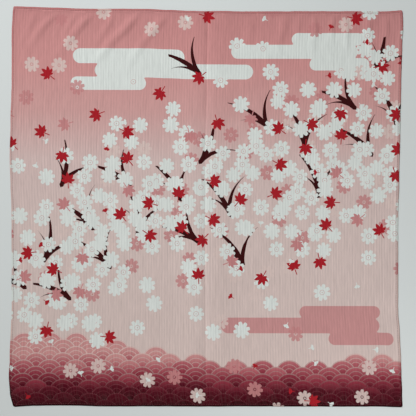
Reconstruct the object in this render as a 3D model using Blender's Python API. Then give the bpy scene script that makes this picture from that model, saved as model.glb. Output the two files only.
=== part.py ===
"""Square wrapping cloth, spread out flat on a surface with its face up.

One thin woven sheet with a narrow turned hem on all four sides, ribbed down its length, with a fold
crease down the middle and soft puckers below the top hem. Metres, +Z up. The origin is the middle of
the cloth's outline on the surface that it lies on, +X is its right-hand side and +Y its top edge.
"""

import bmesh
import bpy
import numpy as np

MM = 0.001

# Driving dimensions, in metres
WIDTH = 0.500  # mean distance between the left and right edges
HEIGHT = 0.507  # mean distance between the top and bottom edges
THICKNESS = 0.0010  # the single layer between the hems
CORNER_RADIUS = 0.0042  # each corner is turned twice, so it ends round

# The turned hem across its width. Columns: distance in from the edge, height of the upper face over the
# single layer's upper face, height of the under face over the surface (all mm)
HEM_PROFILE = (
    (0.0, 0.15, 0.35),
    (1.0, 0.70, 0.0),
    (4.1, 0.60, 0.0),
    (4.9, -0.20, 0.0),
)

# How far each side stands out from the mean rectangle. Columns: distance along the side, distance
# outwards (both mm). The left and right sides run down from the top corner, and the top and bottom
# sides run right from the left corner.
LEFT_SIDE = (
    (0, -3.4), (9, -2.4), (30, -1.3), (95, -1.3), (140, 0.0), (190, 1.3), (228, 0.0),
    (262, -1.3), (380, -1.3), (412, 0.0), (445, 1.3), (470, 2.5), (490, 1.0), (507, -2.6),
)
RIGHT_SIDE = (
    (0, 1.9), (12, 2.6), (24, 2.5), (45, 1.3), (92, 0.0), (160, -1.3), (222, -2.6),
    (262, -3.8), (384, -3.8), (408, -1.9), (452, 0.0), (490, 1.3), (507, 1.9),
)
TOP_SIDE = (
    (0, 5.6), (22, 4.9), (54, 3.6), (90, 2.4), (172, 2.2), (200, 1.0), (230, -0.6),
    (306, -0.9), (482, -0.9), (500, 0.6),
)
BOTTOM_SIDE = (
    (0, 0.3), (30, -1.2), (70, -1.5), (110, -0.4), (250, -0.3), (470, 0.0), (500, 1.0),
)

# Raised ribs, running from the top hem to the bottom hem
RIBS = 70
RIB_HEIGHT = 0.00030  # the tallest rib over the hollow beside it
RIB_SPREAD = 0.00045  # how far a rib may stand to one side of its even place
RIB_SEED = 12

# Rows between the hems, as distances down from the top edge (mm), closer where the cloth is puckered
ROWS = (12, 20, 30, 42, 56, 74, 100, 140, 185, 230, 275, 320, 365, 410, 455, 486)

# The fold crease down the middle is a valley between two low shoulders
CREASE_SHOULDER = 0.0105  # from the valley to the top of a shoulder
CREASE_REACH = 0.0360  # from the valley to where the cloth is flat again
# Columns: distance down from the top edge, height of the shoulders (both mm)
CREASE_HEIGHT = ((0, 0.5), (14, 1.6), (60, 1.2), (160, 1.0), (330, 1.1), (455, 0.8), (507, 0.2))

# Soft ridges that start below the top hem. Columns: distance along the top side, lean (sideways for
# each step down), half width (mm), length down the cloth (mm), height (mm)
PUCKERS = (
    (30, -0.45, 8.0, 40, 0.7),
    (57, -0.80, 9.0, 50, 1.2),
    (79, -0.35, 7.0, 40, 0.7),
    (104, -0.80, 11.0, 62, 1.4),
    (131, -0.60, 8.0, 48, 0.9),
    (160, -0.80, 12.0, 78, 1.7),
    (198, -0.70, 11.0, 84, 1.2),
    (305, -0.05, 9.0, 40, 0.6),
    (345, -0.05, 10.0, 50, 0.9),
    (366, 0.00, 6.5, 36, 0.5),
    (385, 0.05, 7.0, 56, 0.8),
    (410, 0.00, 7.0, 44, 0.7),
    (426, 0.06, 6.5, 50, 0.8),
    (457, 0.04, 9.0, 60, 1.0),
    (476, 0.10, 7.0, 44, 0.8),
)
PUCKER_RISE = 0.012  # a ridge reaches its full height this far below the hem

CLOTH_COLOUR = (0.50, 0.29, 0.28, 1.0)  # dusty pink, the mean of the printed ground
CLOTH_ROUGHNESS = 0.9


def ease(t):
    """A smooth step: 0 for t up to 0, 1 for t from 1 on, 3t^2 - 2t^3 between."""
    t = np.clip(t, 0.0, 1.0)
    return t * t * (3.0 - 2.0 * t)


def read_table(table, at, column=1):
    """The table's column at a distance, eased from one row to the next; distances in metres."""
    rows = np.array(table) * MM
    place = np.clip(np.searchsorted(rows[:, 0], at, side="right") - 1, 0, len(rows) - 2)
    start, end = rows[place], rows[place + 1]
    share = ease((at - start[..., 0]) / (end[..., 0] - start[..., 0]))
    return start[..., column] + (end[..., column] - start[..., column]) * share


def column_places():
    """Distances from the left edge of the grid's columns, and which of them are the crests of ribs.

    The hem's steps come first and last. Between the hems a hollow and a crest take turns, and each
    crest stands a little to one side of its even place.
    """
    steps = np.array(HEM_PROFILE)[:, 0] * MM
    hem = steps[-1]
    inner = np.linspace(hem, WIDTH - hem, 2 * RIBS + 1)
    crests = np.zeros(len(inner), dtype=bool)
    crests[1::2] = True
    inner[crests] += np.random.default_rng(RIB_SEED).uniform(-RIB_SPREAD, RIB_SPREAD, RIBS)
    places = np.concatenate([steps[:-1], inner, WIDTH - steps[-2::-1]])
    is_crest = np.zeros(len(places), dtype=bool)
    is_crest[len(steps) - 1 : len(steps) - 1 + len(inner)] = crests
    return places, is_crest


def row_places():
    """Distances from the top edge of the grid's rows."""
    steps = np.array(HEM_PROFILE)[:, 0] * MM
    return np.concatenate([steps, np.array(ROWS) * MM, HEIGHT - steps[::-1]])


def rib_heights(is_crest, rows):
    """Height of the ribs at each row and column: uneven along each rib, and nothing under the hems."""
    uneven = np.random.default_rng(RIB_SEED + 1).uniform(0.35, 1.0, (len(rows), len(is_crest)))
    hem = HEM_PROFILE[-1][0] * MM
    inside = (rows > hem) & (rows < HEIGHT - hem)
    return RIB_HEIGHT * uneven * is_crest[None, :] * inside[:, None]


def crease_lift(along, down):
    """Height of the sheet beside the middle crease: up from the valley, over a shoulder, down to flat."""
    away = np.abs(along - WIDTH / 2)
    climb = np.clip(away / CREASE_SHOULDER, 0.0, 1.0)
    fall = 1.0 - ease((away - CREASE_SHOULDER) / (CREASE_REACH - CREASE_SHOULDER))
    return read_table(CREASE_HEIGHT, down) * climb * fall


def pucker_lift(along, down):
    """Height of the sheet on the puckers below the top hem: the tallest of the ridges at each point.

    A ridge is half a wave across, and along its length it rises from the hem and dies away.
    """
    hem = HEM_PROFILE[-1][0] * MM
    lift = np.zeros_like(along)
    for start, lean, half_width, length, height in PUCKERS:
        below = down - hem
        across = (along - start * MM - lean * below) / (half_width * MM)
        wave = np.where(np.abs(across) < 1.0, 0.5 + 0.5 * np.cos(np.pi * across), 0.0)
        fade = ease(below / PUCKER_RISE) * (1.0 - ease((below - PUCKER_RISE) / (length * MM)))
        lift = np.maximum(lift, height * MM * wave * fade)
    return lift


def hem_heights(along, down):
    """What the hem adds to the upper face and lifts the under face by, from the nearer edge."""
    from_edge = np.minimum(
        np.minimum(along, WIDTH - along), np.minimum(down, HEIGHT - down)
    )
    profile = np.array(HEM_PROFILE) * MM
    inside = from_edge > profile[-1, 0] + MM / 10
    upper = np.where(inside, 0.0, np.interp(from_edge, profile[:, 0], profile[:, 1]))
    under = np.interp(from_edge, profile[:, 0], profile[:, 2])
    return upper, under


def outline_places(along, down):
    """Plan positions of points of the mean rectangle, once its corners are round and its sides uneven.

    A square of the corner radius at each corner is mapped to a quarter disc: a point's offset from the
    disc's centre keeps its direction, and its length becomes the larger of its two components. Then
    each point moves by its side's offset, in proportion to its nearness to that side.
    """
    x = along - WIDTH / 2
    y = HEIGHT / 2 - down
    off_x = np.maximum(np.abs(x) - (WIDTH / 2 - CORNER_RADIUS), 0.0)
    off_y = np.maximum(np.abs(y) - (HEIGHT / 2 - CORNER_RADIUS), 0.0)
    length = np.hypot(off_x, off_y)
    shrink = np.where(length > 0, np.maximum(off_x, off_y) / np.maximum(length, 1e-9), 1.0)
    x = x - np.sign(x) * off_x * (1.0 - shrink)
    y = y - np.sign(y) * off_y * (1.0 - shrink)
    share_x = along / WIDTH
    share_y = down / HEIGHT
    x = x + share_x * read_table(RIGHT_SIDE, down) - (1 - share_x) * read_table(LEFT_SIDE, down)
    y = y + (1 - share_y) * read_table(TOP_SIDE, along) - share_y * read_table(BOTTOM_SIDE, along)
    return x, y


def cloth_mesh():
    """The sheet as one closed mesh: a flat grid given two sides, whose points are then moved."""
    columns, is_crest = column_places()
    rows = row_places()
    grid = bmesh.new()
    bmesh.ops.create_grid(
        grid, x_segments=len(columns) - 1, y_segments=len(rows) - 1, size=1.0
    )
    bmesh.ops.solidify(grid, geom=grid.faces[:], thickness=1.0)
    points = np.array([vertex.co for vertex in grid.verts])
    column = np.rint((points[:, 0] + 1.0) / 2.0 * (len(columns) - 1)).astype(int)
    row = np.rint((1.0 - points[:, 1]) / 2.0 * (len(rows) - 1)).astype(int)
    is_upper = points[:, 2] > points[:, 2].mean()

    along, down = columns[column], rows[row]
    x, y = outline_places(along, down)
    hem_upper, hem_under = hem_heights(along, down)
    sheet = crease_lift(along, down) + pucker_lift(along, down)
    upper = sheet + THICKNESS + hem_upper + rib_heights(is_crest, rows)[row, column]
    z = np.where(is_upper, upper, sheet + hem_under)

    x -= (x.min() + x.max()) / 2
    y -= (y.min() + y.max()) / 2
    for vertex, place in zip(grid.verts, np.column_stack([x, y, z])):
        vertex.co = place
    bmesh.ops.recalc_face_normals(grid, faces=grid.faces[:])
    mesh = bpy.data.meshes.new("cloth")
    grid.to_mesh(mesh)
    grid.free()
    return mesh


def cloth_material():
    """Matt printed cotton."""
    material = bpy.data.materials.new("printed_cotton")
    material.use_nodes = True
    shader = material.node_tree.nodes["Principled BSDF"]
    shader.inputs["Base Color"].default_value = CLOTH_COLOUR
    shader.inputs["Roughness"].default_value = CLOTH_ROUGHNESS
    shader.inputs["Metallic"].default_value = 0.0
    material.diffuse_color = CLOTH_COLOUR
    return material


def main():
    for old in list(bpy.data.objects):
        bpy.data.objects.remove(old, do_unlink=True)
    collection = bpy.data.collections.new("wrapping_cloth")
    bpy.context.scene.collection.children.link(collection)
    mesh = cloth_mesh()
    mesh.materials.append(cloth_material())
    mesh.shade_smooth()
    mesh.set_sharp_from_angle(angle=np.radians(40))
    collection.objects.link(bpy.data.objects.new("cloth", mesh))


main()
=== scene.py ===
"""The looks of a square printed furoshiki, spread flat with its face up.

The cloth is one closed sheet: woven ribs, a fold crease, puckers below the top hem and a hem turned
twice to the back. Its print, made from scattered motifs and a scale pattern, follows the cloth's own
flat coordinates. The hem's stitches are a piece of their own. All sizes are metres unless a name or a
comment says mm, and the tables' distances are mm.
"""

import math

import bpy
import numpy as np
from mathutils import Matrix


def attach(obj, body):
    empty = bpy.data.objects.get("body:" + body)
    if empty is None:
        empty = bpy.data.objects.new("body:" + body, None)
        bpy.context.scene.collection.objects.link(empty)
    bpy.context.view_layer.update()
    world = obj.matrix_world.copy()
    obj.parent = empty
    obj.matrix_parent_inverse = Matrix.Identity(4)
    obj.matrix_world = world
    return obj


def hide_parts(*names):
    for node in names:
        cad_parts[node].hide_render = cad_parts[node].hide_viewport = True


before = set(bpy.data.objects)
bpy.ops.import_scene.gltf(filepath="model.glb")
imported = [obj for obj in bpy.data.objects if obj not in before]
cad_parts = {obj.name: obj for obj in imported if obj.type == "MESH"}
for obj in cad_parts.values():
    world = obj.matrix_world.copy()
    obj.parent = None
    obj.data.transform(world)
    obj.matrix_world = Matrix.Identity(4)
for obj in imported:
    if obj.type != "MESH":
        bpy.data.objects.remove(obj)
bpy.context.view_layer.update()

MM = 0.001

# The cloth, as in the model that it dresses
WIDTH = 0.500
HEIGHT = 0.507
WIDTH_MM = WIDTH / MM
HEIGHT_MM = HEIGHT / MM
CORNER_RADIUS = 0.0027
SHARP_CORNER = 0.0013  # the upper left corner is turned in more tightly

# How far each side stands out from the mean rectangle. Columns: distance along the side, distance
# outwards. The left and right sides run down from the top corner, the others right from the left one.
LEFT_SIDE = (
    (0, -3.4), (9, -2.4), (30, -1.3), (95, -1.3), (140, 0.0), (190, 1.3), (228, 0.0),
    (262, -1.3), (380, -1.3), (412, 0.0), (445, 1.3), (470, 2.5), (490, 1.0), (507, -2.6),
)
RIGHT_SIDE = (
    (0, 1.9), (12, 2.6), (24, 2.5), (45, 1.3), (92, 0.0), (160, -1.3), (222, -2.6),
    (262, -3.8), (384, -3.8), (408, -1.9), (452, 0.0), (490, 1.3), (507, 1.9),
)
TOP_SIDE = (
    (0, 5.6), (22, 4.9), (54, 3.6), (90, 2.4), (172, 2.2), (200, 1.0), (230, -0.6),
    (306, -0.9), (482, -0.9), (500, 0.6),
)
BOTTOM_SIDE = (
    (0, 0.3), (30, -1.2), (70, -1.5), (110, -0.4), (250, -0.3), (470, 0.0), (500, 1.0),
)

# Smooth random unevenness, as the function uneven takes it. Columns: step across the cloth, step down
# it, seed. A step of 0.2 hardly changes anything that way. A step of 1.0 is one rib or one column.
WAVER_SIDEWAYS = (0.2, 11 * MM, 31)
WAVER_UPWARDS = (11 * MM, 0.2, 32)
CREASE_PATCHES = (0.09, 38 * MM, 41)
SOFT_SWELLS = (0.075, 0.11, 71)
RIB_SPELLS = (1.0, 8 * MM, 82)
RIB_PATCHES = (24 * MM, 42 * MM, 83)
CRINKLES = (1.0, 5 * MM, 84)
NARROW_SHIFTS = (3.4 * MM, 60 * MM, 85)
BROAD_SHIFTS = (9 * MM, 22 * MM, 86)
RIB_SEED = 81

EDGE_WAVER = 0.22 * MM  # small waver of the hem's edge
EDGE_WAVER_REACH = 6 * MM  # how fast it dies away inwards
SWELL_HEIGHT = 0.45 * MM  # low broad swells of the sheet
SWELL_LEVEL = 0.15  # the share that is cut off below
SWELL_START = 14 * MM  # they reach their full height this far inside the hem

# The hem, turned twice to the back. Columns: distance in from the edge, height of the upper face, height
# of the under face. All but the last distance are lines of the grid.
HEM = (
    (0.00, 0.30, 0.30), (0.22, 0.50, 0.12), (0.90, 0.80, 0.00), (2.05, 0.96, 0.00), (2.70, 0.60, 0.10),
    (3.35, 0.92, 0.00), (4.35, 0.90, 0.04), (4.50, 0.84, 0.40), (5.60, 0.68, 0.20), (9.00, 0.50, 0.00),
)
HEM_FOLD = 4.4 * MM  # the turned strip's inner fold
HEM_END = HEM[-1][0] * MM
STITCH_LINE = 2.7 * MM
CORNER_LUMP = 0.28 * MM  # the folded corners are thicker
CORNER_LUMP_START = 1.3  # the lump begins this many fold widths from the corner's sides
CORNER_LUMP_RIM = 0.5 * MM  # the outermost rim stays thin

# The small gathers at the stitches of the top, bottom, left and right hem. Columns: height, seed
GATHERS = ((0.30 * MM, 51), (0.15 * MM, 53), (0.14 * MM, 55), (0.14 * MM, 57))
GATHER_REACH = 5 * MM  # how fast they die away inwards
GATHER_ON_HEM = 0.35  # the share of their height on the hem itself
FINE_GATHER = 2.7 * MM
BROAD_GATHER = 9.0 * MM

# The woven ribs, four grid columns to a rib
RIBS = 140
RIB_MARGIN = 6.9 * MM  # the ribs' columns start this far in from the side edges
RIB_HALF_HEIGHT = 0.070 * MM
RIB_STRENGTHS = (0.55, 1.25)  # each rib's own share of that height, least and most
RIB_SPELL_SHARE = 0.55  # how much stronger or weaker a spell of a rib is
RIB_PATCH_SHARE = 0.25  # and a whole patch
RIB_ON_HEM = 0.3  # the share of its height that a rib keeps on the hem
RIB_START = 4 * MM  # it reaches its full height this far inside the hem
RIB_BASE = 1.5 * RIB_HALF_HEIGHT  # the ribs' middle height over the flat face
RIB_SHIFT = 0.55 * MM  # how far a rib wanders to its side
CRINKLE_HEIGHT = 0.03 * MM
MIDDLE_ROWS = 92  # grid rows between the hems
ROW_CROWDING = 0.42  # how much closer the rows are near the top and bottom hems

# The fold crease down the middle, a valley between two low shoulders
CREASE_STEEP = 2.6 * MM  # half of a shoulder's height rises as 1 - exp(-distance / this)
CREASE_SOFT = 9.0 * MM  # and the other half with this
CREASE_SHOULDER = 8 * MM  # from the valley to where a shoulder begins to fall
CREASE_REACH = 0.044
CREASE_UNEVEN = 0.22  # how much higher or lower a patch of it is
CREASE_HEIGHT = ((0, 0.4), (14, 1.2), (60, 1.0), (160, 1.05), (330, 1.55), (455, 1.4), (507, 0.3))

# Soft ridges below the top hem. Columns: distance along the top side, lean (sideways for each step down),
# half width, length, height
PUCKERS = (
    (30, -0.45, 8.0, 40, 0.7),
    (57, -0.80, 9.0, 50, 1.2),
    (79, -0.35, 7.0, 40, 0.7),
    (104, -0.80, 11.0, 62, 1.4),
    (131, -0.60, 8.0, 48, 0.9),
    (160, -0.80, 12.0, 78, 1.7),
    (198, -0.70, 11.0, 84, 1.2),
    (305, -0.05, 9.0, 40, 0.6),
    (345, -0.05, 10.0, 50, 0.9),
    (366, 0.00, 6.5, 36, 0.5),
    (385, 0.05, 7.0, 56, 0.8),
    (410, 0.00, 7.0, 44, 0.7),
    (426, 0.06, 6.5, 50, 0.8),
    (457, 0.04, 9.0, 60, 1.0),
    (476, 0.10, 7.0, 44, 0.8),
)
PUCKER_RISE = 12 * MM
PUCKER_BEND = 3 * MM  # how far a ridge bends to its side
PUCKER_BEND_STEP = 23 * MM
PUCKER_BEND_START = 0.05  # where along its random bends a ridge begins
PUCKER_STEEP = 1.2  # how much steeper a ridge is on its right-hand side
PUCKER_GENTLE = 0.9  # and on its left
PUCKER_SEED = 60

# The hem's stitches
STITCH_LENGTH = 2.5 * MM
STITCH_GAP = 0.5 * MM
STITCH_STATIONS = 6  # places along a stitch
THREAD_RADIUS = 0.15 * MM
THREAD_SIDES = 6
STITCH_ARCH = 0.6  # how far a stitch's middle stands over its ends, in thread thicknesses
STITCH_SINK = 0.35  # how far its ends lie under the cloth's face, likewise
THREAD_PRESSED = 0.9  # a thread's middle over the floor, in its radius, where the cloth lies on it
THREAD_TIP = 0.06  # the share of half a wave cut off at a stitch's ends

# The bake's map. Columns: where the face's width or height starts, its length there
BAKE_ACROSS = (0.002, 0.996)
BAKE_UNDER = (0.002, 0.200)
BAKE_UPPER = (0.208, 0.790)

# The photograph's frame, 416 px wide, with the cloth about 390 px wide in it
PX = 1.281 * MM  # one pixel on the floor
FRAME_PX = 416
CLOTH_MIDDLE_PX = (206.0, 206.8)  # the middle of the cloth's outline, from the frame's top left
LENS_MM = 50.0
SENSOR_MM = 36.0


# Heights and places

def ease(t):
    """A smooth step: 0 for t up to 0, 1 for t from 1 on, 3t^2 - 2t^3 between."""
    t = np.clip(t, 0.0, 1.0)
    return t * t * (3.0 - 2.0 * t)


def read_table(table, at, column=1):
    """The table's column at a distance, eased from one row to the next; distances in metres."""
    rows = np.array(table) * MM
    place = np.clip(np.searchsorted(rows[:, 0], at, side="right") - 1, 0, len(rows) - 2)
    start, end = rows[place], rows[place + 1]
    share = ease((at - start[..., 0]) / (end[..., 0] - start[..., 0]))
    return start[..., column] + (end[..., column] - start[..., column]) * share


def uneven(along, down, step_along, step_down, seed):
    """Smooth random values from -1 to 1: a net of random numbers, eased from knot to knot both ways."""
    i = np.floor(along / step_along).astype(int)
    j = np.floor(down / step_down).astype(int)
    share_i = ease(along / step_along - i)
    share_j = ease(down / step_down - j)
    i -= i.min()
    j -= j.min()
    net = np.random.default_rng(seed).uniform(-1, 1, (j.max() + 2, i.max() + 2))
    upper = net[j, i] * (1 - share_i) + net[j, i + 1] * share_i
    lower = net[j + 1, i] * (1 - share_i) + net[j + 1, i + 1] * share_i
    return upper * (1 - share_j) + lower * share_j


def from_edge(along, down):
    """Distance to the nearest edge of the mean rectangle."""
    return np.minimum(np.minimum(along, WIDTH - along), np.minimum(down, HEIGHT - down))


def plan(along, down):
    """Plan position of a point of the cloth, before it is centred.

    The square at each corner is mapped to a quarter disc, whose points keep their direction from its
    centre and take the larger of their two offsets as their distance. Then each side's offset is added in
    proportion to nearness, with a small waver of the edge.
    """
    x = along - WIDTH / 2
    y = HEIGHT / 2 - down
    radius = np.where((x < 0) & (y > 0), SHARP_CORNER, CORNER_RADIUS)
    off_x = np.maximum(np.abs(x) - (WIDTH / 2 - radius), 0.0)
    off_y = np.maximum(np.abs(y) - (HEIGHT / 2 - radius), 0.0)
    length = np.hypot(off_x, off_y)
    shrink = np.where(length > 0, np.maximum(off_x, off_y) / np.maximum(length, 1e-9), 1.0)
    x = x - np.sign(x) * off_x * (1.0 - shrink)
    y = y - np.sign(y) * off_y * (1.0 - shrink)
    share_x = along / WIDTH
    share_y = down / HEIGHT
    x = x + share_x * read_table(RIGHT_SIDE, down) - (1 - share_x) * read_table(LEFT_SIDE, down)
    y = y + (1 - share_y) * read_table(TOP_SIDE, along) - share_y * read_table(BOTTOM_SIDE, along)
    waver = EDGE_WAVER * np.exp(-from_edge(along, down) / EDGE_WAVER_REACH)
    x = x + waver * uneven(along, down, *WAVER_SIDEWAYS)
    y = y + waver * uneven(along, down, *WAVER_UPWARDS)
    return x, y


def crease_lift(along, down):
    """Up from the valley on two curves of 1 - exp(-d / width), over a soft shoulder, down to the floor."""
    away = np.abs(along - WIDTH / 2)
    climb = 1.0 - (np.exp(-away / CREASE_STEEP) + np.exp(-away / CREASE_SOFT)) / 2
    fall = 1.0 - ease((away - CREASE_SHOULDER) / (CREASE_REACH - CREASE_SHOULDER))
    patchy = 1.0 + CREASE_UNEVEN * uneven(along, down, *CREASE_PATCHES)
    return read_table(CREASE_HEIGHT, down) * climb * fall * patchy


def pucker_lift(along, down):
    """The tallest of the ridges at each point. A ridge is half a wave across, steeper on its right-hand
    side, bends a little on its way down, rises from the hem and dies away."""
    lift = np.zeros_like(along)
    for number, (start, lean, half_width, length, height) in enumerate(PUCKERS):
        below = down - HEM_FOLD
        run = below + PUCKER_BEND_START
        bend = PUCKER_BEND * uneven(along * 0, run, 1.0, PUCKER_BEND_STEP, PUCKER_SEED + number)
        across = (along - start * MM - lean * below - bend) / (half_width * MM)
        across = np.where(across > 0, across * PUCKER_STEEP, across * PUCKER_GENTLE)
        wave = np.where(np.abs(across) < 1.0, 0.5 + 0.5 * np.cos(np.pi * across), 0.0)
        fade = ease(below / PUCKER_RISE) * (1.0 - ease((below - PUCKER_RISE) / (length * MM)))
        lift = np.maximum(lift, height * MM * wave * fade)
    return lift


def gathers(distance, position, height, seed):
    """The small gathers that one line of stitches pulls into the cloth beside it.

    They change with the position along the hem in fine and broad steps, of which only what is above 0
    counts, and die away with the distance inwards as exp(-distance / reach).
    """
    fade = np.exp(-(distance - HEM_FOLD) / GATHER_REACH)
    reach = np.where(distance > HEM_FOLD, fade, GATHER_ON_HEM)
    fine = uneven(position, position * 0, FINE_GATHER, 1.0, seed)
    broad = uneven(position, position * 0, BROAD_GATHER, 1.0, seed + 1)
    return height * reach * np.maximum(0.6 * fine + 0.7 * broad, 0.0)


def hem_pull(along, down):
    """The gathers of the four hems, added up."""
    sides = ((down, along), (HEIGHT - down, along), (along, down), (WIDTH - along, down))
    return sum(gathers(*side, *strength) for side, strength in zip(sides, GATHERS))


def sheet_lift(along, down):
    """Height of the sheet over the floor from everything but its hem and its weave: the higher of crease
    and puckers, low swells that start inside the hem, and the gathers."""
    swells = np.maximum(uneven(along, down, *SOFT_SWELLS) - SWELL_LEVEL, 0.0) * SWELL_HEIGHT
    inside = ease((from_edge(along, down) - HEM_FOLD) / SWELL_START)
    folds = np.maximum(crease_lift(along, down), pucker_lift(along, down))
    return folds + swells * inside + hem_pull(along, down)


def hem_faces(along, down):
    """Heights of the upper and under face of the flat cloth, from its distance to the edge, with a lump
    on each corner where both sides' turned strips meet."""
    profile = np.array(HEM) * MM
    distance = from_edge(along, down)
    upper = np.interp(distance, profile[:, 0], profile[:, 1])
    under = np.interp(distance, profile[:, 0], profile[:, 2])
    corner = np.minimum(
        ease(CORNER_LUMP_START - np.minimum(along, WIDTH - along) / HEM_FOLD),
        ease(CORNER_LUMP_START - np.minimum(down, HEIGHT - down) / HEM_FOLD),
    )
    return upper + CORNER_LUMP * corner * (distance > CORNER_LUMP_RIM), under


# The sheet's mesh

def hem_steps():
    """Distances in from an edge of the grid's lines on the hem."""
    return np.array([row[0] for row in HEM[:-1]]) * MM


def grid_columns():
    """Distances of the columns from the left edge, and each column's quarter of a rib, -1 in the hems."""
    hem = hem_steps()
    ribs = np.linspace(RIB_MARGIN, WIDTH - RIB_MARGIN, 4 * RIBS + 1)
    places = np.concatenate([hem, ribs, WIDTH - hem[::-1]])
    none = np.full(len(hem), -1)
    return places, np.concatenate([none, np.arange(len(ribs)), none])


def grid_rows():
    """Distances of the rows from the top edge, closer together near the hems: s - c sin(2 pi s) / (2 pi)
    of the height between them, for even steps s and the crowding c."""
    hem = hem_steps()
    s = np.linspace(0, 1, MIDDLE_ROWS + 1)
    s = s - ROW_CROWDING * np.sin(2 * np.pi * s) / (2 * np.pi)
    middle = RIB_MARGIN + (HEIGHT - 2 * RIB_MARGIN) * s
    return np.concatenate([hem, middle, HEIGHT - hem[::-1]])


def weave(quarter, along, down):
    """The ribs' height and sideways shift. A rib's four columns are its hollow, flank, crest and flank.

    Its strength changes from rib to rib and along it, in spells of about 8 mm, and whole patches are
    stronger or weaker.
    """
    is_rib = quarter >= 0
    number = np.maximum(quarter, 0) // 4
    wave = np.where(is_rib, -np.cos(np.pi / 2 * (quarter % 4)), 0.0)
    own = np.random.default_rng(RIB_SEED).uniform(*RIB_STRENGTHS, RIBS + 2)[number]
    spell = uneven(number * 1.0, down, *RIB_SPELLS)
    patch = uneven(along, down, *RIB_PATCHES)
    inside = RIB_ON_HEM + (1.0 - RIB_ON_HEM) * ease((from_edge(along, down) - HEM_FOLD) / RIB_START)
    strength = own * (1.0 + RIB_SPELL_SHARE * spell + RIB_PATCH_SHARE * patch)
    crinkle = uneven(quarter * 1.0, down, *CRINKLES) * CRINKLE_HEIGHT
    narrow = uneven(along, down, *NARROW_SHIFTS)
    broad = uneven(along, down, *BROAD_SHIFTS)
    shift = RIB_SHIFT * (0.6 * narrow + 0.4 * broad)
    height = (RIB_HALF_HEIGHT * wave * strength + np.where(is_rib, crinkle, 0.0)) * inside
    return height, np.where(is_rib, shift, 0.0)


def add_values(mesh, name, kind, values):
    """Gives each point of the mesh a named number or vector."""
    field = {"FLOAT": "value", "FLOAT_VECTOR": "vector"}[kind]
    layer = mesh.attributes.new(name, kind, "POINT")
    layer.data.foreach_set(field, np.asarray(values, dtype=np.float32).ravel())


def add_bake_map(mesh, along, down, under_from):
    """The map that a bake is drawn on: the upper face over most of it, the under face below.

    A corner's place is its point's share of the width and the height. Polygons from under_from on are the
    under face's.
    """
    sizes = np.zeros(len(mesh.polygons), dtype=int)
    mesh.polygons.foreach_get("loop_total", sizes)
    points = np.zeros(len(mesh.loops), dtype=int)
    mesh.loops.foreach_get("vertex_index", points)
    is_under = np.repeat(np.arange(len(sizes)) >= under_from, sizes)
    u = BAKE_ACROSS[0] + BAKE_ACROSS[1] * along[points] / WIDTH
    v = 1.0 - down[points] / HEIGHT
    v = np.where(is_under, BAKE_UNDER[0] + BAKE_UNDER[1] * v, BAKE_UPPER[0] + BAKE_UPPER[1] * v)
    layer = mesh.uv_layers.new(name="OFBake", do_init=False)
    layer.data.foreach_set("uv", np.column_stack([u, v]).astype(np.float32).ravel())


def quads(ids):
    """Four-cornered faces of a net of point numbers, facing up where rows run down the cloth."""
    a, b, c, d = ids[:-1, :-1], ids[1:, :-1], ids[1:, 1:], ids[:-1, 1:]
    return np.stack([a, b, c, d], axis=-1).reshape(-1, 4)


def make_cloth():
    """One closed sheet: a fine grid above, one with every second rib column below, and a shared edge.

    Each face stands at its height in the hem's profile, plus the sheet's lift and the weave. A face of
    the lower grid at the top or bottom edge takes in the edge point that its grid leaves out.
    """
    columns, quarter = grid_columns()
    rows = grid_rows()
    along, down = np.meshgrid(columns, rows)
    quarter = np.broadcast_to(quarter, along.shape)
    weave_height, shift = weave(quarter, along, down)
    x, y = plan(along + shift, down)
    x -= (x.min() + x.max()) / 2
    y -= (y.min() + y.max()) / 2
    upper, under = hem_faces(along, down)
    lift = sheet_lift(along, down)
    lift = lift + weave_height + RIB_BASE * ease(from_edge(along, down) / HEM_END)
    upper = upper + lift
    under = np.maximum(under + lift, 0.0)

    kept = np.flatnonzero((quarter[0] < 0) | (quarter[0] % 2 == 0))
    above = np.arange(along.size).reshape(along.shape)
    below = above[:, kept].copy()
    inner = (slice(1, -1), kept[1:-1])
    inner_shape = below[1:-1, 1:-1].shape
    below[1:-1, 1:-1] = along.size + np.arange(math.prod(inner_shape)).reshape(inner_shape)

    def both(upper_values, under_values):
        return np.concatenate([upper_values.ravel(), under_values[inner].ravel()])

    points = np.column_stack([both(x, x), both(y, y), both(upper, under)])
    upper_faces = quads(above)
    under_faces = quads(below[1:-1])[:, ::-1]
    faces = upper_faces.tolist() + under_faces.tolist() + edge_faces(above, below, kept)
    mesh = bpy.data.meshes.new("cloth")
    mesh.from_pydata(points.tolist(), [], faces)

    flat_along, flat_down, printed = under_print(along, down)
    flat = np.column_stack([both(along, flat_along), both(down, flat_down), both(along * 0, along * 0)])
    add_values(mesh, "flat", "FLOAT_VECTOR", flat)
    add_values(mesh, "printed", "FLOAT", both(along * 0 + 1, printed))
    add_values(mesh, "rib", "FLOAT", both(weave_height, weave_height) / RIB_HALF_HEIGHT)
    add_bake_map(mesh, both(along, along), both(down, down), len(upper_faces))
    mesh.shade_smooth()
    return show(bpy.data.objects.new("printed_cloth", mesh))


def edge_faces(above, below, kept):
    """The under face's first and last rows, which meet the edge shared with the finer upper grid."""
    faces = []
    for edge, inner, turn in ((0, 1, -1), (-1, -2, 1)):
        for m in range(len(kept) - 1):
            outer = above[edge, kept[m]:kept[m + 1] + 1].tolist()
            face = outer + [int(below[inner, m + 1]), int(below[inner, m])]
            faces.append(face[::turn] if edge else face)
    return faces


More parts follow.
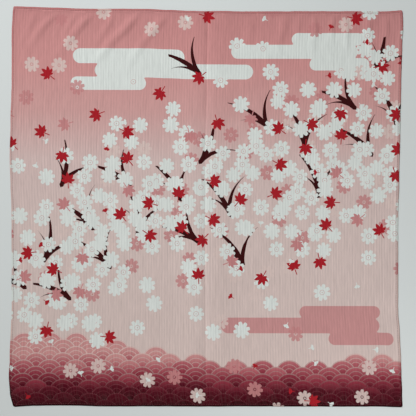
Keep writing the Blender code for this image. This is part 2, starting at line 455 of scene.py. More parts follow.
def under_print(along, down):
    """Flat place of the cloth seen from below, and whether its printed face shows there.

    The hem is turned to the back, so the print runs on over the edge: a point at distance d in from an
    edge, on the turned strip, is the cloth's point at distance d outside it.
    """
    turned = from_edge(along, down) < HEM_FOLD
    side = np.minimum(along, WIDTH - along) <= np.minimum(down, HEIGHT - down)
    mirror_along = np.where(along < WIDTH / 2, -along, 2 * WIDTH - along)
    mirror_down = np.where(down < HEIGHT / 2, -down, 2 * HEIGHT - down)
    flat_along = np.where(turned & side, mirror_along, along)
    flat_down = np.where(turned & ~side, mirror_down, down)
    return flat_along, flat_down, turned * 1.0


def show(piece):
    """Puts a piece in the scene."""
    bpy.context.scene.collection.objects.link(piece)
    return piece


# The stitches

def stitch_places():
    """Along and down of each stitch's two ends, evenly spaced on the four sides of the hem."""
    pitch = STITCH_LENGTH + STITCH_GAP
    runs = []
    for length, place in (
        (WIDTH, lambda s: (s, s * 0 + STITCH_LINE)),
        (WIDTH, lambda s: (s, s * 0 + HEIGHT - STITCH_LINE)),
        (HEIGHT, lambda s: (s * 0 + STITCH_LINE, s)),
        (HEIGHT, lambda s: (s * 0 + WIDTH - STITCH_LINE, s)),
    ):
        count = int((length - 2 * STITCH_LINE) // pitch)
        first = STITCH_LINE + (length - 2 * STITCH_LINE - count * pitch + STITCH_GAP) / 2
        start = first + pitch * np.arange(count)
        runs.append(np.stack([place(start), place(start + STITCH_LENGTH)], axis=-1))
    return np.concatenate(runs, axis=1)


def make_stitches():
    """Short threads above and below the hem: each a tube whose middle stands out of the cloth and whose
    ends sink into it. Height over the face is arch sin(pi t) - sink, in thread thicknesses, and the
    radius is the thread's times the root of sin(pi t), a little short of the ends."""
    ends = stitch_places()
    t = np.linspace(0, 1, STITCH_STATIONS)
    turn = np.linspace(0, 2 * np.pi, THREAD_SIDES, endpoint=False)
    along = ends[0, :, :1] * (1 - t) + ends[0, :, 1:] * t
    down = ends[1, :, :1] * (1 - t) + ends[1, :, 1:] * t
    x, y = centred_plan(along, down)
    upper, under = hem_faces(along, down)
    lift = sheet_lift(along, down)
    stand = (STITCH_ARCH * np.sin(np.pi * t) - STITCH_SINK) * 2 * THREAD_RADIUS
    swell = THREAD_RADIUS * np.sqrt(np.sin(np.pi * (THREAD_TIP + (1 - 2 * THREAD_TIP) * t)))
    upright = np.array([0.0, 0.0, 1.0])
    points = []
    for level, way in ((upper + lift, 1), (under + lift, -1)):
        z = np.maximum(level + way * stand, THREAD_RADIUS * THREAD_PRESSED)
        path = np.stack([x, y, z], axis=-1)
        run = path[:, -1:] - path[:, :1]
        run = run / np.linalg.norm(run, axis=-1, keepdims=True)
        side = np.stack([-run[..., 1], run[..., 0], run[..., 0] * 0], axis=-1)
        ring = side[:, :, None] * np.cos(turn)[:, None] + upright * np.sin(turn)[:, None]
        points.append(path[:, :, None] + ring * swell[None, :, None, None])
    points = np.concatenate(points)
    count, stations, sides = points.shape[:3]
    ids = np.arange(count * stations * sides).reshape(count, stations, sides)
    after = np.roll(ids, -1, axis=2)
    walls = np.stack([ids[:, :-1], ids[:, 1:], after[:, 1:], after[:, :-1]], axis=-1).reshape(-1, 4)
    mesh = bpy.data.meshes.new("hem_stitches")
    caps = ids[:, 0].tolist() + ids[:, -1, ::-1].tolist()
    mesh.from_pydata(points.reshape(-1, 3).tolist(), [], walls.tolist() + caps)
    mesh.shade_smooth()
    return show(bpy.data.objects.new("hem_stitches", mesh))


def centred_plan(along, down):
    """Plan position of any point, once the cloth's outline is centred on the frame's origin."""
    x, y = plan(along, down)
    rim_along, rim_down = np.meshgrid(grid_columns()[0], grid_rows())
    rim_x, rim_y = plan(rim_along, rim_down)
    return x - (rim_x.min() + rim_x.max()) / 2, y - (rim_y.min() + rim_y.max()) / 2


# Materials

class Amount:
    """A number that changes over a surface. Sums on it add Math nodes to its material."""

    def __init__(self, paint, socket):
        self.paint = paint
        self.socket = socket

    def math(self, operation, *others):
        return self.paint.math(operation, self, *others)

    def __add__(self, other):
        return self.math("ADD", other)

    __radd__ = __add__

    def __mul__(self, other):
        return self.math("MULTIPLY", other)

    __rmul__ = __mul__

    def __sub__(self, other):
        return self.math("SUBTRACT", other)

    def __rsub__(self, other):
        return self.paint.math("SUBTRACT", other, self)

    def __truediv__(self, other):
        return self.math("DIVIDE", other)

    def __neg__(self):
        return self * -1.0

    def __lt__(self, other):
        return self.math("LESS_THAN", other)

    def __gt__(self, other):
        return self.math("GREATER_THAN", other)

    def floor(self):
        return self.math("FLOOR")

    def nearest(self):
        return self.math("ROUND")

    def size(self):
        return self.math("ABSOLUTE")

    def root(self):
        return self.math("SQRT")

    def sin(self):
        return self.math("SINE")

    def cos(self):
        return self.math("COSINE")

    def modulo(self, other):
        return self.math("FLOORED_MODULO", other)

    def most(self, other):
        return self.math("MAXIMUM", other)

    def least(self, other):
        return self.math("MINIMUM", other)

    def clamp(self):
        return self.most(0.0).least(1.0)

    def edge(self, softness=0.12):
        """1 where the number is above 0 and 0 where it is below, with a soft change between."""
        return (self / softness + 0.5).clamp()


def hypot(a, b):
    """The length of a step of a one way and b the other: the root of a^2 + b^2."""
    return (a * a + b * b).root()


class Paint:
    """The nodes of one material, or of the world."""

    def __init__(self, owner, shader="Principled BSDF"):
        self.owner = owner
        owner.use_nodes = True
        self.tree = owner.node_tree
        self.shader = self.tree.nodes[shader]

    def node(self, kind, settings=(), inputs=()):
        """Adds a node: its type, its settings, and the values or links of its sockets."""
        made = self.tree.nodes.new(kind)
        for name, value in dict(settings).items():
            if name == "stops":
                self.set_stops(made.color_ramp, value)
            else:
                setattr(made, name, value)
        for name, value in dict(inputs).items():
            self.feed(made.inputs[name], value)
        return made

    def feed(self, socket, value):
        """Links a socket to what changes over the surface, or gives it a plain value."""
        if isinstance(value, Amount):
            value = value.socket
        if isinstance(value, bpy.types.NodeSocket):
            self.tree.links.new(value, socket)
        else:
            socket.default_value = value

    def shade(self, looks):
        """Gives the shader's named sockets their values or links."""
        for name, value in looks.items():
            self.feed(self.shader.inputs[name], value)

    def set_stops(self, ramp, stops):
        while len(ramp.elements) < len(stops):
            ramp.elements.new(0.5)
        for element, (place, colour) in zip(ramp.elements, stops):
            element.position = place
            element.color = colour

    def math(self, operation, *values):
        made = self.node("ShaderNodeMath", {"operation": operation}, enumerate(values))
        return Amount(self, made.outputs[0])

    def vector(self, x=0.0, y=0.0, z=0.0):
        return self.node("ShaderNodeCombineXYZ", (), {"X": x, "Y": y, "Z": z}).outputs[0]

    def parts(self, vector):
        split = self.node("ShaderNodeSeparateXYZ", (), {"Vector": vector})
        return [Amount(self, socket) for socket in split.outputs]

    def mix(self, share, under, over):
        """The colour under, covered by the colour over as far as share says."""
        made = self.node("ShaderNodeMix", {"data_type": "RGBA"}, {0: share, 6: under, 7: over})
        return made.outputs[2]

    def times(self, colour, amount):
        """A colour made lighter or darker by a number."""
        settings = {"operation": "SCALE"}
        return self.node("ShaderNodeVectorMath", settings, {0: colour, "Scale": amount}).outputs[0]

    def deepen(self, colour):
        """A colour times itself: darker, and more strongly coloured where it isn't white."""
        settings = {"operation": "MULTIPLY"}
        return self.node("ShaderNodeVectorMath", settings, {0: colour, 1: colour}).outputs[0]

    def dice(self, x, y, seed):
        """Three random numbers from 0 to 1 for each whole x and y."""
        settings = {"noise_dimensions": "3D"}
        noise = self.node("ShaderNodeTexWhiteNoise", settings, {"Vector": self.vector(x, y, seed)})
        return self.parts(noise.outputs["Color"])

    def ramp(self, stops, place):
        """The colour at a place from 0 to 1 on a row of stops."""
        return self.node("ShaderNodeValToRGB", {"stops": stops}, {0: place}).outputs[0]

    def noise(self, vector, detail=2.0, scale=1.0):
        inputs = {"Vector": vector, "Scale": scale, "Detail": detail}
        return Amount(self, self.node("ShaderNodeTexNoise", (), inputs).outputs["Fac"])

    def grain(self, x, down, size, detail=2.0):
        """Noise whose spots have a size: a width and a length down the cloth, in mm."""
        return self.noise(self.vector(x / size[0], down / size[1]), detail)

    def values(self, name):
        """A named vector of the piece's points."""
        return self.node("ShaderNodeAttribute", {"attribute_name": name}).outputs["Vector"]

    def value(self, name):
        """A named number of the piece's points."""
        return Amount(self, self.node("ShaderNodeAttribute", {"attribute_name": name}).outputs["Fac"])


LIGHT_LEVEL = 0.75  # how bright a white surface shows under the scene's lights


def rgb(red, green, blue):
    """A screen colour, 0 to 255, as light falls off a surface that is lit as brightly as in the scene."""
    def linear(part):
        part = part / 255
        return part / 12.92 if part <= 0.04045 else ((part + 0.055) / 1.055) ** 2.4

    return tuple(min(linear(part) / LIGHT_LEVEL, 0.9) for part in (red, green, blue)) + (1.0,)


WHITE = rgb(203, 207, 203)
PALE = rgb(200, 180, 174)
ROSE = rgb(181, 122, 122)
CRIMSON = rgb(155, 31, 39)
BROWN = rgb(54, 16, 17)
BACK = rgb(205, 196, 190)

# The ground, from the cloth's top down. Columns: share of its height, colour
GROUND = (
    (0.00, rgb(183, 126, 125)),
    (0.14, rgb(190, 135, 133)),
    (0.26, rgb(191, 147, 144)),
    (0.38, rgb(195, 172, 168)),
    (0.55, rgb(196, 177, 172)),
    (1.00, rgb(196, 177, 171)),
)

# The scales and the lines on them, from the cloth's foot up. Columns: share of TONE_HEIGHT, colour
TONE_HEIGHT = 120.0  # mm
SCALE_TONES = (
    (0.00, rgb(46, 4, 11)),
    (0.18, rgb(78, 13, 27)),
    (0.31, rgb(129, 46, 59)),
    (0.44, rgb(162, 86, 93)),
    (0.58, rgb(188, 134, 132)),
    (1.00, rgb(184, 126, 126)),
)
LINE_TONES = (
    (0.00, rgb(62, 13, 22)),
    (0.22, rgb(106, 46, 55)),
    (0.56, rgb(198, 172, 166)),
    (1.00, rgb(204, 188, 182)),
)


# The motifs. Each takes a place in mm from the motif's middle and gives mm inside its outline.

PETALS = 8
LOBE_TURN = 0.09  # angle by which a petal's two lobes are turned from its middle
LOBE_MIDDLE = 0.60  # how far out a lobe's middle lies, in the flower's radius
LOBE_SLACK = 0.03  # the angle left free beside the next petal's lobe


def flower_head(px, py, radius, closed):
    """A flower seen full face: each petal is two ovals that reach its rim, turned from its middle.

    An oval gives 1 less the distance in half axes, times its half width. The petals close up within closed
    times the radius.
    """
    sector = 2 * math.pi / PETALS
    angle = py.math("ARCTAN2", px)
    fold = (angle - (angle / sector).nearest() * sector).size() - LOBE_TURN
    distance = hypot(px, py)
    along = (distance * fold.cos() - LOBE_MIDDLE * radius) / ((1 - LOBE_MIDDLE) * radius)
    half_width = LOBE_MIDDLE * radius * (math.tan(sector / 2) - LOBE_TURN - LOBE_SLACK)
    across = distance * fold.sin() / half_width
    petal = (1.0 - hypot(along, across)) * half_width
    return petal.most(closed * radius - distance)


# Columns: the lobe's angle from the leaf's middle line, length and width, in the leaf's radius
MAPLE_LOBES = ((0.0, 1.0, 0.20), (0.72, 0.95, 0.19), (1.42, 0.78, 0.16), (2.12, 0.52, 0.12))
MAPLE_STALK = (0.6, 0.8)  # half width in mm, length in the leaf's radius


def maple_leaf(px, py, radius):
    """A maple leaf of seven lobes with a thin stalk, even about its middle line.

    A lobe's half width is 4 width s (1 - s) along its length.
    """
    side = px.size()
    shape = (MAPLE_STALK[0] - side).least((-py).least(py + MAPLE_STALK[1] * radius))
    for angle, length, width in MAPLE_LOBES:
        along = (py * math.cos(angle) + side * math.sin(angle)) / (length * radius)
        across = (side * math.cos(angle) - py * math.sin(angle)).size()
        shape = shape.most(along * (1.0 - along) * (4 * width * radius) - across)
    return shape


FAN_FOOT = 0.45  # how far the fan's foot lies below the leaf's middle, in its radius
FAN_SIDES = (0.80, 0.60)  # sine and cosine of the angle from the middle line to the fan's sides
FAN_NOTCH = 0.16  # the notch's radius, in the leaf's
FAN_STALK = (0.35, 0.5)  # as the maple's


def fan_leaf(px, py, radius):
    """A ginkgo leaf: a fan between two straight sides and an arc, with a round notch in its rim and a
    short stalk."""
    side = px.size()
    y = py + FAN_FOOT * radius
    wing = y * FAN_SIDES[0] - side * FAN_SIDES[1]
    notch = hypot(side, y - radius) - FAN_NOTCH * radius
    stalk = (FAN_STALK[0] - side).least((-y).least(y + FAN_STALK[1] * radius))
    return (radius - hypot(side, y)).least(wing).least(notch).most(stalk)


# Blades of a tuft. Columns: radius of the bend, to the right if above 0; length; half width at the foot
BLADES = ((50.0, 48.0, 2.5), (-84.0, 66.0, 2.9), (-34.0, 33.0, 2.1))
BLADE_TAPER = 1.8  # a blade begins to narrow where 1 / this of its length is left


def grass_tuft(px, py, foot):
    """Three blades of grass from one foot below the middle: arcs of circles that narrow to their tips."""
    y = py + foot
    shape = None
    for bend, length, half_width in BLADES:
        off_arc = (hypot(px - bend, y) - abs(bend)).size()
        before_top = (1.0 - px / bend) * abs(bend)
        tip = (1.0 - y / length) * (BLADE_TAPER * half_width)
        blade = tip.least(half_width).least(y).least(before_top) - off_arc
        shape = blade if shape is None else shape.most(blade)
    return shape


# Bars of mist. Columns: middle, distance down, half length without the round ends, half height, and
# whether white (1) or rose (0)
MIST = (
    (150, 60, 62, 9.5, 1), (208, 78, 92, 9.5, 1), (124, 95, 40, 8.5, 1),
    (404, 36, 38, 8.0, 1), (362, 52, 72, 9.0, 1), (420, 68, 30, 8.0, 1),
    (424, 386, 44, 8.0, 0), (372, 403, 92, 10.0, 0), (450, 420, 34, 8.0, 0),
)
MIST_BLEND = 4.0  # mm over which two bars run together


def mist_bank(x, down, tone):
    """The bars of one tone, run together by a smooth maximum: mm inside the nearest of them."""
    shape = None
    for middle, height, half_length, half_height, bar_tone in MIST:
        if bar_tone == tone:
            past_end = ((x - middle).size() - half_length).most(0.0)
            bar = half_height - hypot(past_end, down - height)
            shape = bar if shape is None else shape.math("SMOOTH_MAX", bar, MIST_BLEND)
    return shape


def scattered(paint, x, down, pitch, turn, wander, seed, lean=math.pi):
    """One place in each cell of a turned net with half-dropped columns, moved at random.

    Each is turned at random by up to lean either way. Gives the place's own coordinates in mm, the cell's
    middle, and three more random numbers.
    """
    c, s = math.cos(turn), math.sin(turn)
    across = (x * c + down * s) / pitch
    column = across.floor()
    run = (down * c - x * s) / pitch + column.modulo(2.0) * 0.5
    row = run.floor()
    shift_x, shift_y, angle = paint.dice(column, row, seed)
    px = (across - column - 0.5 - (shift_x - 0.5) * wander) * pitch
    py = (run - row - 0.5 - (shift_y - 0.5) * wander) * pitch
    angle = (angle - 0.5) * (2 * lean) + turn
    cos, sin = angle.cos(), angle.sin()
    middle_across = (column + 0.5) * pitch
    middle_run = (row + 0.5 - column.modulo(2.0) * 0.5) * pitch
    middle = (middle_across * c - middle_run * s, middle_across * s + middle_run * c)
    return px * cos - py * sin, -(px * sin + py * cos), middle, paint.dice(column, row, seed + 0.5)


# The sweep in which the flowers lie thickest. Mm from the cloth's upper left corner
DRIFT_MIDDLE = (250.0, 245.0)
DRIFT_UNIT = 250.0  # mm that count as 1 in the shares below
DRIFT_SLOPE = 0.62
DRIFT_WAVE = (2.4, 0.20)  # how fast the sweep waves along its length, and how far
DRIFT_NARROW = 4.2  # k
SCALES_FROM = 418.0  # few flowers lie over the scales, from this far down
SCALES_FADE = 30.0
SCALES_LACK = 0.1


def drift(x, down):
    """How thickly the flowers lie, 0 to 1: a broad bent sweep from the lower left to the upper right, with
    few over the scales at the foot. It falls as exp(-k off^2) with the distance off the sweep's middle."""
    t = (x - DRIFT_MIDDLE[0]) / DRIFT_UNIT
    s = (down - DRIFT_MIDDLE[1]) / DRIFT_UNIT
    off = s + t * DRIFT_SLOPE - (t * DRIFT_WAVE[0]).sin() * DRIFT_WAVE[1]
    over_scales = ((down - SCALES_FROM) / SCALES_FADE).clamp()
    sweep = (off * off * -DRIFT_NARROW).math("EXPONENT")
    return sweep * (1.0 - over_scales) - over_scales * SCALES_LACK


SCALE_RADIUS = 17.0  # mm
SCALE_STEP = 8.5  # mm between rows of scales
FIELD_HEIGHT = 75.0  # mm, the field's upper limit at the left edge
FIELD_FALL = 0.070  # how far the limit falls for each step to the right
FIELD_SWELL = (62.0, 10.0)  # the limit swells as the sine of x / this, by this many mm
SCALE_SEED = 7.0


def scale_field(paint, x, up):
    """Overlapping wave scales at the foot of the cloth, higher to the left.

    Rows of discs stand half a disc apart, and each row covers the one above it. A disc is there if its
    middle is below the field's bent upper limit. Gives the share of the disc's radius at the point, 2
    where no disc is, and a random number for the disc.
    """
    first = (up / SCALE_STEP).floor()
    share, tone = None, None
    for behind in (1, 0, -1, -2):
        row = first + behind
        half = row.modulo(2.0) * 0.5
        place = x / (2 * SCALE_RADIUS) - half
        column = place.nearest()
        across = (place - column) * (2 * SCALE_RADIUS)
        middle_x = (column + half) * (2 * SCALE_RADIUS)
        middle_y = row * SCALE_STEP
        swell = (middle_x / FIELD_SWELL[0]).sin() * FIELD_SWELL[1]
        there = middle_y < FIELD_HEIGHT - middle_x * FIELD_FALL + swell
        distance = hypot(across, up - middle_y) / SCALE_RADIUS
        covers = (distance < 1.0) * there
        dice = paint.dice(column, row, SCALE_SEED)[0]
        if share is None:
            share, tone = covers * (distance - 2.0) + 2.0, dice
        else:
            share = share + covers * (distance - share)
            tone = tone + covers * (dice - tone)
    return share, tone


def ring(value, middle, half_width):
    """A band of a number: half_width less its distance from a middle value."""
    return half_width - (value - middle).size()


# Lines on a scale. Columns: middle and half width, in the scale's radius
SCALE_LINES = ((0.955, 0.030), (0.66, 0.020), (0.36, 0.020))
SCALE_RIM = 0.01  # softness of a scale's edge and
LINE_RIM = 0.02  # of its lines, in its radius
SCALE_UNLIKE = 0.10  # how far one scale's tone differs from the next, on the ramp
SCALE_SHADE = 0.05  # how far a scale's tone changes from its middle to its edge
WEAR_GRAIN = (1.8, 14.0)
WEAR = 0.03  # how pale the worn specks in the wine are


def scale_colour(paint, x, down, colour):
    """The colour covered by the wave scales: tones that lighten upwards, worn specks and pale lines."""
    up = HEIGHT_MM - down
    share, tone = scale_field(paint, x, up)
    place = up / TONE_HEIGHT + (tone - 0.5) * SCALE_UNLIKE + (share - 0.5) * SCALE_SHADE
    wine = paint.ramp(SCALE_TONES, place)
    worn = (paint.grain(x, down, WEAR_GRAIN) * 3.0 - 1.2).clamp()
    wine = paint.mix(worn * WEAR, wine, PALE)
    outer, middle, inner = (ring(share, *line) for line in SCALE_LINES)
    lines = outer.most(middle).most(inner).edge(LINE_RIM)
    wine = paint.mix(lines, wine, paint.ramp(LINE_TONES, up / TONE_HEIGHT))
    return paint.mix((1.0 - share).edge(SCALE_RIM), colour, wine)


# The strewn layers. Columns: share of the cells that hold a motif where the drift is thickest, over the
# share that do anywhere; then pitch, turn, wander, seed and lean, as the function scattered takes them
DIM_FLOWERS = (0.5, 0.2, 33.0, 0.31, 0.30, 11.0)
TUFTS = (0.9, 0.05, 60.0, -0.25, 0.25, 23.0, 0.9)
SMALL_FLOWERS = (0.72, 0.03, 26.0, 0.55, 0.26, 31.0)
LARGE_FLOWERS = (0.72, 0.03, 29.0, -0.42, 0.26, 37.0)
MAPLES = (0.55, 0.12, 38.0, 0.12, 0.34, 43.0)
GINKGOS = (0.0, 0.17, 31.0, -0.7, 0.5, 53.0)

# Sizes in mm
DIM_FLOWER_RADIUS = 10.0
SMALL_FLOWER_RADIUS = 10.2
LARGE_FLOWER_RADIUS = 11.0
TUFT_FOOT = 27.0  # from the tuft's middle down to its foot
MAPLE_RADIUS = 12.0
GINKGO_RADIUS = 5.2
HEART_RING = (3.0, 0.24)  # radius and half width of the ring in a white flower's heart
HEART_DOT = 0.6

OPEN_HEART = 0.12  # how far out a dim flower's petals close up, in its radius
FULL_HEART = 0.52  # and a white one's
SUNK = 0.85  # how strongly the dim flowers and the rose mist cover the ground
HEART_INK = 0.8

# Shares of the motifs in a layer
DIM_IN_PALE = 0.60
WITH_HEART = 0.55
MAPLES_IN_ROSE = 0.34
GINKGOS_IN_WHITE = 0.65


def strewn(paint, x, down, thick, thin, *net):
    """A layer of motifs, thicker in the drift: a motif's own coordinates in mm, 1 in the cells that hold
    one, and its random numbers."""
    px, py, middle, dice = scattered(paint, x, down, *net)
    held = drift(*middle) * thick + thin if thick else thin
    return px, py, dice[0] < held, dice


def print_colour(paint, x, down):
    """The printed design: mist over a graded ground, wave scales at the foot, then leaves and flowers."""
    colour = paint.ramp(GROUND, down / HEIGHT_MM)
    colour = paint.mix(mist_bank(x, down, 1).edge(), colour, WHITE)
    colour = paint.mix(mist_bank(x, down, 0).edge() * SUNK, colour, ROSE)
    colour = scale_colour(paint, x, down, colour)

    # pale and rose flowers, half sunk in the ground
    px, py, there, dice = strewn(paint, x, down, *DIM_FLOWERS)
    shape = flower_head(px, py, DIM_FLOWER_RADIUS, OPEN_HEART).edge() * there
    colour = paint.mix(shape * SUNK, colour, paint.mix(dice[1] > 1 - DIM_IN_PALE, ROSE, PALE))

    # tufts of dark grass
    px, py, there, dice = strewn(paint, x, down, *TUFTS)
    colour = paint.mix(grass_tuft(px, py, TUFT_FOOT).edge() * there, colour, BROWN)

    # white flowers in two strewn layers
    for layer, radius in ((SMALL_FLOWERS, SMALL_FLOWER_RADIUS), (LARGE_FLOWERS, LARGE_FLOWER_RADIUS)):
        px, py, there, dice = strewn(paint, x, down, *layer)
        shape = flower_head(px, py, radius, FULL_HEART).edge() * there
        colour = paint.mix(shape, colour, WHITE)
        distance = hypot(px, py)
        heart = ring(distance, *HEART_RING).most(HEART_DOT - distance).edge()
        has_heart = there * (dice[1] > 1 - WITH_HEART)
        colour = paint.mix(heart * has_heart * HEART_INK, colour, ROSE)

    # crimson and rose maple leaves
    px, py, there, dice = strewn(paint, x, down, *MAPLES)
    tint = paint.mix(dice[1] > 1 - MAPLES_IN_ROSE, CRIMSON, ROSE)
    colour = paint.mix(maple_leaf(px, py, MAPLE_RADIUS).edge() * there, colour, tint)

    # small ginkgo leaves, falling
    px, py, there, dice = strewn(paint, x, down, *GINKGOS)
    tint = paint.mix(dice[1] > 1 - GINKGOS_IN_WHITE, CRIMSON, WHITE)
    return paint.mix(fan_leaf(px, py, GINKGO_RADIUS).edge() * there, colour, tint)


# The cloth's own tones. A grain is the size of its spots, as the method grain takes it.
STREAK_GRAIN = (0.8, 9.0)
STREAK_TONE = 0.13
CLUMP_GRAIN = (2.2, 26.0)
CLUMP_TONE = 0.26
CLOUD_GRAIN = (45.0, 60.0)
CLOUD_TONE = 0.06
RIB_PAINTED_SHADE = 0.060  # painted shade: a rib's crest this much lighter than its flank, its hollow darker
SHOW_THROUGH = 0.30  # how strongly the print shows on the back
# The rim: its deeper colour is partly denser print on the turned edge and partly painted shade of its
# rounded nose; RIM_SHADE is painted shade alone, most at the very edge
RIM_WIDTH = 2.4  # mm along the hem's edge of deeper colour and painted shade
RIM_DEPTH = 0.80
RIM_SHADE = 0.06
# The stitch line's painted shadow: GROOVE_SHADE along its groove, HOLE_SHADE more in the needle holes
GROOVE_HALF_WIDTH = 0.95  # mm, the line in which the stitches lie
GROOVE_SHADE = 0.08
HOLE_GRAIN = (1.7, 1.7)
HOLE_SHADE = 0.24  # painted shade in the darker spots on that line, where the needle went through
ROUGHNESS = 0.88
ROUGHNESS_CHANGE = 0.16
SHEEN = 0.01
SHEEN_ROUGHNESS = 0.5
SHINE = 0.04

# The bumps of the fine weave, in mm
WARP_PITCH = 0.42
WEFT_PITCH = 0.50
THREAD_HEIGHT = 0.010
CRIMP_GRAIN = (0.9, 4.0)
CRIMP_HEIGHT = 0.10
BUMP_STRENGTH = 0.8


def tone_and_painted_shade(paint, x, down, rib, streaks):
    """How light the cloth is, and how much it belongs to its rim.

    The ribs' painted shade, lighter on their crests and darker in their hollows, and three grains of
    random tone change the lightness about 1.
    Painted shade lowers it evenly towards the very edge and towards the middle of the line of stitches.
    """
    # painted shade on the ribs, darker in their hollows and lighter on their crests, and random streaks of
    # the yarn
    light = rib * RIB_PAINTED_SHADE + (streaks - 0.5) * STREAK_TONE + 1.0
    light = light + (paint.grain(x, down, CLUMP_GRAIN) - 0.5) * CLUMP_TONE
    light = light + (paint.grain(x, down, CLOUD_GRAIN) - 0.5) * CLOUD_TONE
    edge = x.least(WIDTH_MM - x).least(down.least(HEIGHT_MM - down))
    rim = (1.0 - edge / RIM_WIDTH).clamp()
    # painted shadow along the stitch groove, deepest in spots where the needle went through
    holes = (paint.grain(x, down, HOLE_GRAIN, 1.0) * 2.4 - 0.5).clamp()
    groove = (1.0 - (edge - STITCH_LINE / MM).size() / GROOVE_HALF_WIDTH).clamp()
    # lightness: the yarn's own tones with the painted shade of ribs, rim, stitch groove and needle holes
    return light - rim * RIM_SHADE - groove * (holes * HOLE_SHADE + GROOVE_SHADE), rim


def cloth_material():
    """Printed cotton crepe: the design, with painted shade on the ribs, the rim and the stitch line, over
    a bumpy weave of fine threads.

    The weave's height is the product of two sines, for warp and weft, and a long-grained crimp.
    """
    paint = Paint(bpy.data.materials.new("printed_cotton"))
    flat_x, flat_y, _ = paint.parts(paint.values("flat"))
    x, down = flat_x / MM, flat_y / MM
    design = print_colour(paint, x, down)
    back = paint.mix(SHOW_THROUGH, BACK, design)
    colour = paint.mix(paint.value("printed").edge(0.4), back, design)
    streaks = paint.grain(x, down, STREAK_GRAIN)
    light, rim = tone_and_painted_shade(paint, x, down, paint.value("rib"), streaks)
    # the rim's deeper colour, partly denser print and partly painted shade
    colour = paint.mix(rim * RIM_DEPTH, colour, paint.deepen(colour))
    rough = (streaks - 0.5) * ROUGHNESS_CHANGE + ROUGHNESS

    warp = (x * (2 * math.pi / WARP_PITCH)).sin()
    weft = (down * (2 * math.pi / WEFT_PITCH)).sin()
    crimp = paint.grain(x, down, CRIMP_GRAIN, 3.0)
    height = warp * weft * THREAD_HEIGHT + crimp * CRIMP_HEIGHT
    inputs = {"Strength": BUMP_STRENGTH, "Distance": MM, "Height": height}
    paint.shade({
        "Base Color": paint.times(colour, light),
        "Roughness": rough.clamp(),
        "Sheen Weight": SHEEN,
        "Sheen Roughness": SHEEN_ROUGHNESS,
        "Specular IOR Level": SHINE,
        "Normal": paint.node("ShaderNodeBump", (), inputs).outputs[0],
    })
    return paint.owner


THREAD_DARK = rgb(122, 52, 60)
THREAD_LIGHT = rgb(140, 68, 76)
THREAD_ROUGHNESS = 0.55
TWIST_PITCH = 0.5 * MM


def thread_material():
    """Wine rose polyester sewing thread with a soft shine and a slight twist: bands at 45 degrees to it,
    whose tone and roughness follow the sine of x + y."""
    paint = Paint(bpy.data.materials.new("sewing_thread"))
    coords = paint.node("ShaderNodeTexCoord").outputs["Object"]
    x, y, _ = paint.parts(coords)
    twist = ((x + y) * (2 * math.pi / TWIST_PITCH)).sin()
    colour = paint.mix(twist * 0.25 + 0.5, THREAD_DARK, THREAD_LIGHT)
    paint.shade({"Base Color": colour, "Roughness": twist * 0.06 + THREAD_ROUGHNESS})
    return paint.owner


# Stage, lights and camera

FLOOR_HALF = 2.4
FLOOR_DROP = 0.02 * MM  # under the cloth's lowest points, so that no faces coincide
BOARD_TONES = (rgb(202, 206, 205), rgb(204, 208, 207))
BOARD_PATCHES = 6.0  # patches to a metre
BOARD_ROUGHNESS = 0.9
BOARD_SHINE = 0.2

# The lamps, all discs. Columns: name, place, point aimed at, diameter, power, spread in degrees
LAMPS = (
    ("window", (-2.6, 2.7, 2.05), (0.0, 0.0, 0.0), 1.0, 22.4, 80),
    ("left_lamp", (-0.16, 0.36, 0.60), (-0.16, 0.36, 0.0), 0.3, 0.8, 180),
    ("right_lamp", (0.28, -0.47, 0.51), (0.28, -0.47, 0.0), 0.3, 1.05, 180),
)
LAMP_COLOUR = (0.98, 1.0, 1.01)

# The surround's light, brighter up to just over the horizon for the sake of low views. Columns: height (0
# straight down, 0.5 at the horizon, 1 overhead), colour
ROOM = (
    (0.00, (0.40, 0.41, 0.405, 1.0)),
    (0.52, (0.40, 0.41, 0.405, 1.0)),
    (0.60, (0.22, 0.218, 0.212, 1.0)),
    (1.00, (0.22, 0.218, 0.212, 1.0)),
)


def floor_material():
    """A plain pale painted board."""
    paint = Paint(bpy.data.materials.new("pale_board"))
    coords = paint.node("ShaderNodeTexCoord").outputs["Object"]
    patch = paint.noise(coords, 2.0, BOARD_PATCHES)
    colour = paint.mix(patch, *BOARD_TONES)
    paint.shade({"Base Color": colour, "Roughness": BOARD_ROUGHNESS, "Specular IOR Level": BOARD_SHINE})
    return paint.owner


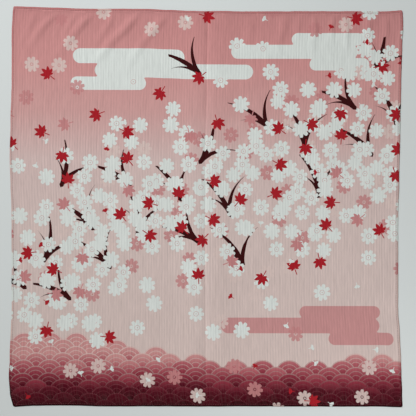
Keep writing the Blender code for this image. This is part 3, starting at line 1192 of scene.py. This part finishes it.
def make_floor():
    """A plain square floor just under the cloth."""
    signs = ((-1, -1), (1, -1), (1, 1), (-1, 1))
    corners = [(x * FLOOR_HALF, y * FLOOR_HALF, -FLOOR_DROP) for x, y in signs]
    mesh = bpy.data.meshes.new("floor")
    mesh.from_pydata(corners, [], [(0, 1, 2, 3)])
    mesh.materials.append(floor_material())
    floor = show(bpy.data.objects.new("floor", mesh))


def aim(thing, target):
    """Turns a light or a camera, whose view is its -Z, to a point."""
    way = np.array(target) - np.array(thing.location)
    level = math.hypot(way[0], way[1])
    thing.rotation_euler = (math.atan2(level, -way[2]), 0.0, math.atan2(-way[0], way[1]))


def add_lamp(name, place, target, size, power, spread):
    """A round lamp that the camera doesn't see."""
    light = bpy.data.lights.new(name, "AREA")
    light.shape = "DISK"
    light.size = size
    light.energy = power
    light.color = LAMP_COLOUR
    light.spread = math.radians(spread)
    lamp = show(bpy.data.objects.new(name, light))
    lamp.location = place
    lamp.visible_camera = False
    aim(lamp, target)


def light_scene():
    """Soft daylight from the upper left, two small lamps close over the cloth and a grey surround."""
    for lamp in LAMPS:
        add_lamp(*lamp)
    surround = Paint(bpy.data.worlds.new("room"), "Background")
    height = surround.parts(surround.node("ShaderNodeTexCoord").outputs["Generated"])[2]
    surround.shade({"Color": surround.ramp(ROOM, height * 0.5 + 0.5)})
    bpy.context.scene.world = surround.owner
    bpy.context.scene.view_settings.view_transform = "Standard"


def place_camera():
    """Straight above, so that a frame of FRAME_PX pixels shows PX of floor in each."""
    camera = bpy.data.cameras.new("camera")
    camera.lens = LENS_MM
    camera.sensor_width = SENSOR_MM
    camera.sensor_fit = "HORIZONTAL"
    view = show(bpy.data.objects.new("camera", camera))
    across = (FRAME_PX / 2 - CLOTH_MIDDLE_PX[0]) * PX
    along = (CLOTH_MIDDLE_PX[1] - FRAME_PX / 2) * PX
    view.location = (across, along, FRAME_PX * PX * camera.lens / camera.sensor_width)
    bpy.context.scene.camera = view


def main():
    place_camera()
    light_scene()
    make_floor()
    cloth = make_cloth()
    cloth.data.materials.append(cloth_material())
    stitches = make_stitches()
    stitches.data.materials.append(thread_material())
    for piece in (cloth, stitches):
        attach(piece, "root")
    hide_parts("cloth")


main()
